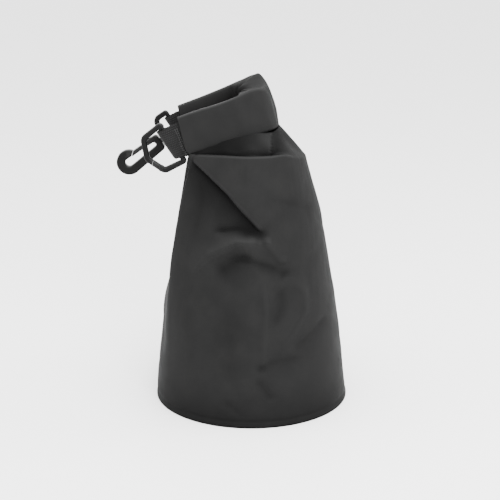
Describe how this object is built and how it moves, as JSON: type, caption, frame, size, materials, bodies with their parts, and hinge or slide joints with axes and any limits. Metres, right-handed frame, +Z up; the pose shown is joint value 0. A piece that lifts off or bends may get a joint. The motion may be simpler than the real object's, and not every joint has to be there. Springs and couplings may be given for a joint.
{
  "type": "roll-top dry bag",
  "caption": "Small round-based roll-top dry bag in matte black coated fabric, its mouth rolled and bent double, with a gated ring and a swivel snap hook on webbing loops",
  "frame": {"origin": "centre of the underside of the round base", "axes": "+Z up along the bag, +X towards the closed bend of the rolled mouth, the ring on the -Y side and the hook on the +Y side"},
  "size_m": [0.2049, 0.1707, 0.2848],
  "materials": {
    "coated_fabric": "matte coated",
    "webbing": "woven",
    "thread": "stitched",
    "stiffener_strip": "plain sheet",
    "moulded_plastic": "fine satin moulded",
    "steel_pin": "blackened"
  },
  "bodies": {
    "bag": {"body_shell": "coated_fabric", "base_panel": "coated_fabric", "back_seam_lap": "coated_fabric", "rolled_mouth": "coated_fabric", "mouth_stiffener_outer": "stiffener_strip", "mouth_stiffener_inner": "stiffener_strip", "mouth_hem_tape_outer": "coated_fabric", "mouth_hem_tape_inner": "coated_fabric", "front_webbing_loop": "webbing", "rear_webbing_loop": "webbing", "front_bar_tacks": "thread", "rear_bar_tacks": "thread"},
    "ring": {"ring_frame": "moulded_plastic", "ring_gate_pin": "steel_pin"},
    "ring_gate": {"ring_gate": "moulded_plastic"},
    "hook_eye": {"hook_eye": "moulded_plastic"},
    "hook": {"hook_body": "moulded_plastic", "hook_gate_pin": "steel_pin"},
    "hook_gate": {"hook_gate": "moulded_plastic"}
  },
  "joints": [
    {"name": "ring_swing", "type": "hinge", "parent": "bag", "child": "ring", "pos_m": [-0.0676, -0.026, 0.2374], "axis": [-0.5476, 0, 0.8368], "range_deg": [-75, 75]},
    {"name": "ring_gate_open", "type": "hinge", "parent": "ring", "child": "ring_gate", "pos_m": [-0.07712, -0.026, 0.21541], "axis": [0, 1, 0], "range_deg": [0, 24], "stiffness_Nm_per_rad": 0.01, "springref_deg": -5.73},
    {"name": "hook_swing", "type": "hinge", "parent": "bag", "child": "hook_eye", "pos_m": [-0.0654, 0.026, 0.2378], "axis": [-0.5606, 0, 0.8281], "range_deg": [-75, 20]},
    {"name": "hook_swivel", "type": "hinge", "parent": "hook_eye", "child": "hook", "pos_m": [-0.0654, 0.026, 0.2378], "axis": [0.8281, 0, 0.5606], "range_deg": [-90, 90]},
    {"name": "hook_gate_open", "type": "hinge", "parent": "hook", "child": "hook_gate", "pos_m": [-0.09014, 0.026, 0.22672], "axis": [0, -1, 0], "range_deg": [0, 13], "stiffness_Nm_per_rad": 0.01, "springref_deg": -5.73}
  ]
}
